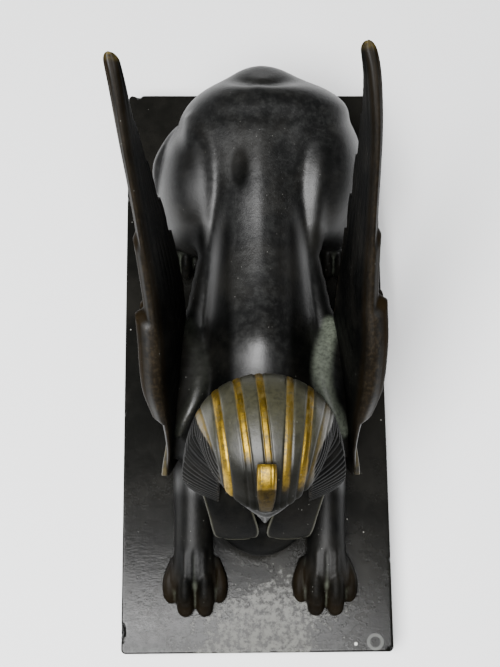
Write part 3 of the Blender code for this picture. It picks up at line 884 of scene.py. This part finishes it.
def quills(along, across, covert_end):
    """Grooves between the long feathers, and scales on the short ones."""
    lane = across * feathers_across
    lane_width = wing_chord / feathers_across
    groove = -groove_depth * hill((lane - np.round(lane)) * lane_width, 0.7)
    shaft = shaft_height * hill((lane - np.floor(lane) - 0.5) * lane_width, 0.5)
    row = along * scale_rows
    cell = (lane + 0.5 * (np.floor(row) % 2)) % 1.0 - 0.5
    reach = row - np.floor(row) + 1.2 * cell**2
    scale = scale_height * (np.clip(reach, 0, 1) - step(0.93, 1.02, reach))
    long_part = step(covert_end - 0.02, covert_end + 0.02, along + row_slant * across)
    short_part = step(covert_start, covert_start + 0.03, along) * (1 - long_part)
    long_feathers = long_part * (groove + shaft) * step(0.06, 0.14, across) * step(1.0, 0.93, along)
    return long_feathers + short_part * scale * step(0.12, 0.2, across)


def wing_mesh(side, splay, reach, covert_end, span_steps=300, chord_steps=44):
    """A wing from its edges, half spans and swells, its upper half bent outward by splay, back by reach."""
    edges = (wing_front, wing_back, front_half_span, back_half_span)
    rows = smooth_rows(np.column_stack([*edges, outer_swell, inner_swell]), span_steps)
    along = np.linspace(0, 1, span_steps)[:, None]
    k = np.arange(2 * chord_steps)
    outward = (k < chord_steps)[None, :]
    across = np.where(k < chord_steps, k + 0.5, 2 * chord_steps - k - 0.5) / chord_steps
    across = (across**1.25)[None, :]
    columns = (rows[:, c : c + 1] for c in range(8))
    front_y, front_z, back_y, back_z, front_x, back_x, swell_out, swell_in = columns
    round_end = np.sqrt(1 - np.clip((along - tip_start) / (1 - tip_start), 0, 1) ** 2)
    profile = blade_profile(across) * round_end
    across = across * (1 - feather_tips(along) * step(0.5, 1.0, across))
    y = front_y + (back_y - front_y) * across
    z = front_z + (back_z - front_z) * across
    x = front_x + (back_x - front_x) * across
    over = np.minimum(1.0, profile * 1.6)
    rise = row_depth(along, across, covert_end, row_tips, covert_depth) * over * covert_swell(along, across)
    rise *= 1 - 0.65 * step(0.15, 0.75, across)
    secondary = row_depth(along, across, secondary_end, row_tips, secondary_depth)
    rise += secondary * over * np.minimum(1, along / 0.3)
    relief = quills(along, across, covert_end)
    x += np.where(outward, swell_out * profile + rise + relief, -swell_in * profile - 0.6 * relief)
    beyond = np.maximum(0.0, 2 * along - 1)
    x += splay * beyond**1.3
    y += reach * beyond
    rings = np.stack([side * x, y, z], axis=2)
    mesh = as_mesh(ring_mesh(rings), "wing")
    rim = hill(across - 0.018, 0.013) * np.where(outward, 1.0, 0.5)
    brown = np.where(outward, 0.95, 0.6 * step(0.12, 0.02, across)) * (1 - rim)
    tip = 0.3 * step(0.96, 1.0, along)
    for name, share in (("brown", brown), ("dull_and_painted_shade", 1 - 0.6 * rim), ("brass", tip)):
        give(mesh, name, np.broadcast_to(share, rings.shape[:2]).ravel())
    return mesh


def wing_edge(side):
    """The thin raised rim of the wing's root over the shoulder, cut off square at its lower end."""
    edge = side_loft(
        side,
        [
            (30.6, -29.0, 40.5, 0.6, 0.8),
            (31.0, -33.0, 37.5, 0.6, 0.8),
            (31.8, -38.5, 33.5, 0.6, 0.8),
            (32.7, -43.5, 29.5, 0.75, 0.9),
            (33.0, -46.6, 26.5, 1.0, 1.1),
        ],
        sides=20,
        steps=60,
        power=3.0,
    )
    mesh = as_mesh(edge, "wing_edge")
    give(mesh, "brass", np.full(len(mesh.vertices), 0.2))
    return mesh


# Finishes

# Colours of the bronze and of the stone
black_patina, worn_patina = (0.0012, 0.0013, 0.0012), (0.0055, 0.0052, 0.0044)
haze_grey, brown_patina = (0.022, 0.023, 0.021), (0.0085, 0.0055, 0.0022)
olive_patina_and_painted_light, rubbed_edge = (0.034, 0.033, 0.018), (0.060, 0.044, 0.024)
bare_brass, old_gold = (0.24, 0.175, 0.04), (0.37, 0.235, 0.024)
verdigris_green, bronze_dust = (0.115, 0.13, 0.10), (0.24, 0.24, 0.22)
stone_dark, stone_light = (0.004, 0.004, 0.0035), (0.010, 0.0095, 0.008)
bloom_grey, stone_dust = (0.12, 0.12, 0.11), (0.22, 0.22, 0.20)
ring_grey, spot_white = (0.28, 0.29, 0.27), (0.55, 0.55, 0.52)

# The dried ring and the spot on the plinth: place and radius, in metres
stain_ring, stain_spot = (0.0415, -0.1026, 0.0024), (0.0346, -0.1032, 0.0)


class Finish:
    """A material and short names for its nodes: each method adds nodes and gives the socket of the last."""

    def __init__(self, name):
        self.material = bpy.data.materials.new(name)
        self.material.use_nodes = True
        self.shader = self.material.node_tree.nodes["Principled BSDF"]
        self.coords = self.node("TexCoord").outputs["Object"]

    def node(self, kind):
        return self.material.node_tree.nodes.new("ShaderNode" + kind)

    def feed(self, socket, value):
        """Gives a socket a link, a colour or a number."""
        if isinstance(value, bpy.types.NodeSocket):
            self.material.node_tree.links.new(value, socket)
        else:
            socket.default_value = (*value, 1) if isinstance(value, tuple) else value

    def noise(self, scale, detail=4.0, roughness=0.55):
        made = self.node("TexNoise")
        given = (("Vector", self.coords), ("Scale", scale), ("Detail", detail), ("Roughness", roughness))
        for name, value in given:
            self.feed(made.inputs[name], value)
        return made.outputs["Fac"]

    def ramp(self, value, low, high, low_to=0.0, high_to=1.0):
        made = self.node("MapRange")
        made.interpolation_type = "SMOOTHSTEP"
        names = ("Value", "From Min", "From Max", "To Min", "To Max")
        for name, given in zip(names, (value, low, high, low_to, high_to)):
            self.feed(made.inputs[name], given)
        return made.outputs["Result"]

    def math(self, operation, *values):
        made = self.node("Math")
        made.operation = operation
        for socket, value in zip(made.inputs, values):
            self.feed(socket, value)
        return made.outputs[0]

    def times(self, first, second):
        return self.math("MULTIPLY", first, second)

    def plus(self, first, second):
        return self.math("ADD", first, second)

    def blend(self, share, first, second):
        made = self.node("Mix")
        made.data_type = "RGBA"
        for name, value in (("Factor", share), ("A", first), ("B", second)):
            self.feed(made.inputs[name], value)
        return made.outputs["Result"]

    def value(self, name):
        """What the piece carries at each point under this name."""
        made = self.node("Attribute")
        made.attribute_name = name
        return made.outputs["Fac"]

    def speckle(self, scale, share):
        """Small round specks, scale of them to a metre, on a share of their cells."""
        cells = self.node("TexVoronoi")
        self.feed(cells.inputs["Scale"], scale)
        self.feed(cells.inputs["Vector"], self.coords)
        split = self.node("SeparateColor")
        self.feed(split.inputs["Color"], cells.outputs["Color"])
        chosen = self.math("LESS_THAN", split.outputs["Red"], share)
        return self.times(self.ramp(cells.outputs["Distance"], 0.16, 0.08), chosen)

    def ring(self, x, y, radius):
        """A thin dried ring on the plinth's top, in metres, or a small spot where the radius is nothing."""
        apart = self.node("VectorMath")
        apart.operation = "DISTANCE"
        self.feed(apart.inputs[0], self.coords)
        apart.inputs[1].default_value = (x, y, plinth_high[2])
        off = self.math("ABSOLUTE", self.math("SUBTRACT", apart.outputs["Value"], radius))
        return self.ramp(off, 0.0008, 0.0003)

    def bump(self, height, strength, distance):
        made = self.node("Bump")
        for name, value in (("Strength", strength), ("Distance", distance), ("Height", height)):
            self.feed(made.inputs[name], value)
        return made.outputs["Normal"]

    def done(self, **inputs):
        """The material, its shader's inputs given by their names with _ for each space."""
        for name, value in inputs.items():
            self.feed(self.shader.inputs[name.replace("_", " ")], value)
        return self.material


def bronze_finish():
    """Dark patina worn brown and gilt in places, read from the values that each piece carries."""
    f = Finish("bronze_patina")
    cloud, patch = f.noise(70, 6), f.noise(320, 7, 0.72)
    grain, fine = f.noise(800, 5, 0.7), f.noise(2600, 3, 0.6)
    base = f.blend(f.ramp(cloud, 0.40, 0.68), black_patina, worn_patina)
    # The grey haze is kept off duller places, so the painted shade they carry darkens the colour too.
    haze = f.times(f.ramp(patch, 0.45, 0.70), f.ramp(f.value("dull_and_painted_shade"), 0.0, 0.6, 1.0, 0.1))
    base = f.blend(f.times(haze, 0.35), base, haze_grey)
    brown = f.times(f.value("brown"), f.ramp(cloud, 0.25, 0.55, 0.35, 1.0))
    base = f.blend(brown, base, brown_patina)
    # Olive patina, and a painted highlight on the lappets' borders.
    base = f.blend(f.times(f.value("olive_and_painted_light"), f.ramp(grain, 0.30, 0.62, 0.5, 1.0)), base, olive_patina_and_painted_light)
    kept = f.ramp(f.value("dull_and_painted_shade"), 0.0, 1.0, 1.0, 0.3)
    rubbed = f.times(f.times(f.value("wear"), f.ramp(grain, 0.44, 0.66, 0.0, 0.5)), kept)
    base = f.blend(rubbed, base, rubbed_edge)
    brass = f.times(f.value("brass"), f.ramp(patch, 0.35, 0.60))
    base = f.blend(brass, base, bare_brass)
    gold = f.times(f.value("gilt"), f.ramp(patch, 0.38, 0.56, 0.35, 1.0))
    gold = f.times(gold, f.ramp(grain, 0.32, 0.48, 0.3, 1.0))
    base = f.blend(gold, base, old_gold)
    green = f.times(f.value("verdigris"), f.ramp(grain, 0.30, 0.62, 0.4, 1.0))
    base = f.blend(green, base, verdigris_green)
    dust = f.times(f.speckle(900, 0.10), f.ramp(cloud, 0.46, 0.60))
    base = f.blend(f.times(dust, 0.6), base, bronze_dust)
    # Brown and duller places lose their gloss; the duller ones include painted shade.
    matt_and_painted_shade = f.math("MAXIMUM", brown, f.value("dull_and_painted_shade"))
    rough = f.plus(f.ramp(patch, 0.3, 0.7, 0.38, 0.45), f.times(matt_and_painted_shade, 0.08))
    height = f.plus(f.plus(grain, f.times(fine, 0.5)), f.times(f.speckle(1300, 0.22), -0.9))
    return f.done(
        Base_Color=base,
        Metallic=f.ramp(f.math("MAXIMUM", gold, brass), 0.0, 0.6),
        IOR=1.55,
        Specular_IOR_Level=f.times(f.ramp(matt_and_painted_shade, 0.0, 1.0, 0.5, 0.03), f.ramp(patch, 0.3, 0.7, 0.88, 1.08)),
        Roughness=f.plus(rough, f.times(f.plus(green, brass), 0.25)),
        Normal=f.bump(height, 0.5, 0.00016),
    )


def plinth_finish():
    """Polished black stone with a pale bloom about the forepaws, a round stain and dust."""
    f = Finish("plinth_stone")
    cloud, mottle, grain = f.noise(34, 8, 0.62), f.noise(420, 8, 0.72), f.noise(1500, 4)
    split = f.node("SeparateXYZ")
    f.feed(split.inputs["Vector"], f.coords)
    x, y, z = (split.outputs[axis] for axis in "XYZ")
    base = f.blend(f.ramp(cloud, 0.40, 0.68), stone_dark, stone_light)
    upper = f.ramp(z, plinth_high[2] - 0.0015, plinth_high[2] - 0.0004)
    forward = f.times(f.ramp(y, -0.062, -0.092), upper)
    middle = f.ramp(f.math("ABSOLUTE", x), 0.046, 0.012)
    cover = f.times(f.times(forward, middle), f.ramp(cloud, 0.40, 0.60, 0.2, 1.0))
    bloom = f.times(f.ramp(f.plus(mottle, f.times(cover, 0.22)), 0.62, 0.80), forward)
    base = f.blend(bloom, base, bloom_grey)
    base = f.blend(f.speckle(520, 0.05), base, stone_dust)
    base = f.blend(f.times(f.ring(*stain_ring), 0.22), base, ring_grey)
    base = f.blend(f.ring(*stain_spot), base, spot_white)
    polish = f.times(f.ramp(cloud, 0.3, 0.7, 1.0, 0.75), f.ramp(mottle, 0.35, 0.65, 0.34, 0.24))
    return f.done(
        Base_Color=base,
        # Painted shade: the stone reflects less along its very front edge, where the lamp's reflection ends.
        Specular_IOR_Level=f.times(polish, f.ramp(y, -0.106, -0.092, 0.68, 1.0)),
        Roughness=f.plus(f.ramp(cloud, 0.3, 0.7, 0.11, 0.17), f.times(bloom, 0.3)),
        Normal=f.bump(f.plus(grain, mottle), 0.2, 0.0001),
    )


# Putting the pieces in the frame


def convexity(mesh):
    """How sharply each point stands out from its neighbours, in drawing units."""
    co, normals = points_of(mesh)
    ends = np.empty(len(mesh.edges) * 2, dtype=np.int64)
    mesh.edges.foreach_get("vertices", ends)
    ends = ends.reshape(-1, 2)
    total = np.zeros_like(co)
    count = np.zeros(len(co))
    for a, b in ((0, 1), (1, 0)):
        np.add.at(total, ends[:, a], co[ends[:, b]])
        np.add.at(count, ends[:, a], 1)
    lean = ((co - total / np.maximum(count, 1)[:, None]) * normals).sum(axis=1)
    for _ in range(3):
        total = np.zeros(len(co))
        for a, b in ((0, 1), (1, 0)):
            np.add.at(total, ends[:, a], lean[ends[:, b]])
        lean = 0.5 * lean + 0.5 * total / np.maximum(count, 1)
    return lean


def place_piece(name, mesh, finish):
    """Adds a drawn mesh as a piece of the figure, at its real size on the plinth."""
    give(mesh, "wear", np.clip(convexity(mesh) * wear_gain - 0.15, 0, 1))
    mesh.transform(Matrix.Translation(seat) @ Matrix.Scale(unit, 4))
    mesh.shade_smooth()
    mesh.materials.clear()
    mesh.materials.append(finish)
    piece = add_object(name, mesh)
    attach(piece, "root")
    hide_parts("sphinx")


def slab_outline(inset, spacing=0.0008, corner=0.0016, corner_points=10):
    """Points round the plinth's rounded outline, set in by a distance."""
    full_x, full_y = plinth_high[0] - plinth_low[0], plinth_high[1] - plinth_low[1]
    half_x, half_y = 0.5 * full_x - inset, 0.5 * full_y - inset
    radius = max(corner - inset, 0.0002)
    count_x, count_y = int((full_x - 2 * corner) / spacing), int((full_y - 2 * corner) / spacing)
    points = []
    for quarter, (sx, sy) in enumerate(((1, 1), (-1, 1), (-1, -1), (1, -1))):
        centre = np.array([sx * (half_x - radius), sy * (half_y - radius)])
        angles = math.pi / 2 * (quarter + np.linspace(0, 1, corner_points))
        arc = centre + radius * np.stack([np.cos(angles), np.sin(angles)], axis=1)
        after = np.array([[-1, 1], [-1, -1], [1, -1], [1, 1]][quarter]) * (half_x - radius, half_y - radius)
        start = after + radius * np.array([math.cos(angles[-1]), math.sin(angles[-1])])
        count = count_x if quarter % 2 == 0 else count_y
        share = np.linspace(0, 1, count + 1)[1:-1, None]
        points.append(arc)
        points.append(arc[-1] + (start - arc[-1]) * share)
    return np.vstack(points)


slab_bevel = 0.0007
slab_side_rows, slab_bevel_rows = 7, 6
slab_upper_drops = (0.0030, 0.0024, 0.0018, 0.0013, 0.0009)
slab_top_insets = (0.0011, 0.0016, 0.0022, 0.0029, 0.0037, 0.0046, 0.0056, 0.0070)
chip_zone_top, chip_zone_foot = 0.0045, 0.004

# Where the plinth's edge is chipped: place, breadth and depth of each chip, in metres.
plinth_chips = [
    (-0.0480, -0.0968, 0.0011, 0.0011),
    (-0.0480, -0.0990, 0.0013, 0.0008),
    (-0.0480, -0.1012, 0.0009, 0.0005),
    (-0.0445, 0.1060, 0.0018, 0.0008),
    (-0.0480, 0.0630, 0.0009, 0.0005),
    (-0.0480, -0.0210, 0.0007, 0.0004),
    (0.0480, 0.0440, 0.0010, 0.0005),
    (0.0480, -0.0740, 0.0008, 0.0004),
    (0.0140, -0.1060, 0.0010, 0.0005),
    (-0.0220, -0.1060, 0.0007, 0.0004),
    (0.0474, -0.1054, 0.0009, 0.0005),
]


def slab_mesh():
    """The plinth with its edges rounded by wear and chipped in places."""
    middle = 0.5 * (np.array(plinth_low[:2]) + np.array(plinth_high[:2]))
    foot, top, bevel = plinth_low[2], plinth_high[2], slab_bevel
    side_heights = np.linspace(foot + bevel, top - slab_upper_drops[0], slab_side_rows)
    rows = [(bevel, foot)] + [(0.0, z) for z in side_heights]
    rows += [(0.0, top - drop) for drop in slab_upper_drops[1:]]
    for angle in np.linspace(0.1, 1.57, slab_bevel_rows):
        rows.append((bevel * (1 - math.cos(angle)), top - bevel * (1 - math.sin(angle))))
    rows += [(inset, top) for inset in slab_top_insets]
    rings = []
    for inset, z in rows:
        outline = slab_outline(inset)
        rings.append(np.column_stack([outline + middle, np.full(len(outline), z)]))
    rings = np.array(rings)
    outer = rings[3, :, :2]
    inward = directions(rings[-1, :, :2] - outer)
    for x, y, breadth, depth in plinth_chips:
        beside = ((rings[:, :, :2] - (x, y)) ** 2).sum(axis=2)
        away = np.sqrt(beside + (0.8 * (rings[:, :, 2] - top)) ** 2)
        ragged = 1 + 0.25 * np.sin(away * 5200 + rings[:, :, 1] * 2900)
        bite = depth * np.clip(1.5 * hill(away, breadth * ragged) - 0.35, 0, 1)
        bite[-1] = 0
        rings[:, :, 2] -= bite * (rings[:, :, 2] > top - chip_zone_top)
        rings[:, :, :2] += inward[None, :, :] * (bite * (rings[:, :, 2] > foot + chip_zone_foot))[:, :, None]
    return as_mesh(ring_mesh(rings), "plinth_slab")


# How far each wing's tip splays outward and reaches back, and where its short feathers end
right_wing = (8.8, -1.8, 0.552)
left_wing = (-7.2, 2.0, 0.572)


def dress_figure():
    bronze = bronze_finish()
    place_piece("lion_body", lion_mesh(), bronze)
    place_piece("headcloth", headcloth_mesh(), bronze)
    place_piece("face", face_mesh(), bronze)
    place_piece("lappet_left", lappet(1), bronze)
    place_piece("lappet_right", lappet(-1), bronze)
    place_piece("cobra", cobra_mesh(), bronze)
    place_piece("headband", headband_mesh(), bronze)
    place_piece("wing_right", wing_mesh(-1, *right_wing), bronze)
    place_piece("wing_left", wing_mesh(1, *left_wing), bronze)
    place_piece("wing_edge_right", wing_edge(-1), bronze)
    place_piece("wing_edge_left", wing_edge(1), bronze)


def dress_plinth():
    mesh = slab_mesh()
    mesh.shade_smooth()
    mesh.materials.append(plinth_finish())
    slab = add_object("plinth_slab", mesh)
    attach(slab, "root")
    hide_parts("plinth")


floor_half, floor_gap = 3.0, 0.0002
floor_colour, floor_roughness = (0.94, 0.945, 0.95, 1), 0.5


def add_stage():
    """The pale table, a hair below the plinth."""
    floor_mesh = bpy.data.meshes.new("floor")
    corners = [(x * floor_half, y * floor_half, 0) for x, y in ((-1, -1), (1, -1), (1, 1), (-1, 1))]
    floor_mesh.from_pydata(corners, [], [(0, 1, 2, 3)])
    floor = add_object("floor", floor_mesh)
    floor.location.z = plinth_low[2] - floor_gap
    pale = bpy.data.materials.new("floor_pale")
    pale.use_nodes = True
    shader = pale.node_tree.nodes["Principled BSDF"]
    shader.inputs["Base Color"].default_value = floor_colour
    shader.inputs["Roughness"].default_value = floor_roughness
    floor_mesh.materials.append(pale)


lamp_place = (-0.43, -0.545, 1.5)
lamp_turn, lamp_size, lamp_power = -10, 1.15, 98
world_colour, world_strength = (0.92, 0.96, 1.0, 1), 0.045


def add_light():
    """A flat square lamp that shines straight down, turned in its own plane, in a dim room."""
    light = bpy.data.lights.new("overhead", "AREA")
    light.shape = "SQUARE"
    light.size = lamp_size
    light.energy = lamp_power
    lamp = add_object("overhead", light)
    lamp.location = lamp_place
    lamp.rotation_euler = (0, 0, math.radians(lamp_turn))
    world = bpy.data.worlds.new("studio")
    world.use_nodes = True
    background = world.node_tree.nodes["Background"]
    background.inputs["Color"].default_value = world_colour
    background.inputs["Strength"].default_value = world_strength
    bpy.context.scene.world = world


# The camera as found from the plinth's corners in the photo: place, turn in degrees, lens and sensor in mm
camera_place = (-0.01306, -0.11062, 0.48169)
camera_turn = (14.385, -1.253, -0.553)
camera_lens, camera_sensor = 70.16, 36


def add_camera():
    camera = bpy.data.cameras.new("camera")
    camera.sensor_fit = "VERTICAL"
    camera.sensor_height = camera_sensor
    camera.lens = camera_lens
    holder = add_object("camera", camera)
    holder.location = camera_place
    holder.rotation_euler = [math.radians(angle) for angle in camera_turn]
    bpy.context.scene.camera = holder


dress_plinth()
dress_figure()
add_stage()
add_light()
add_camera()
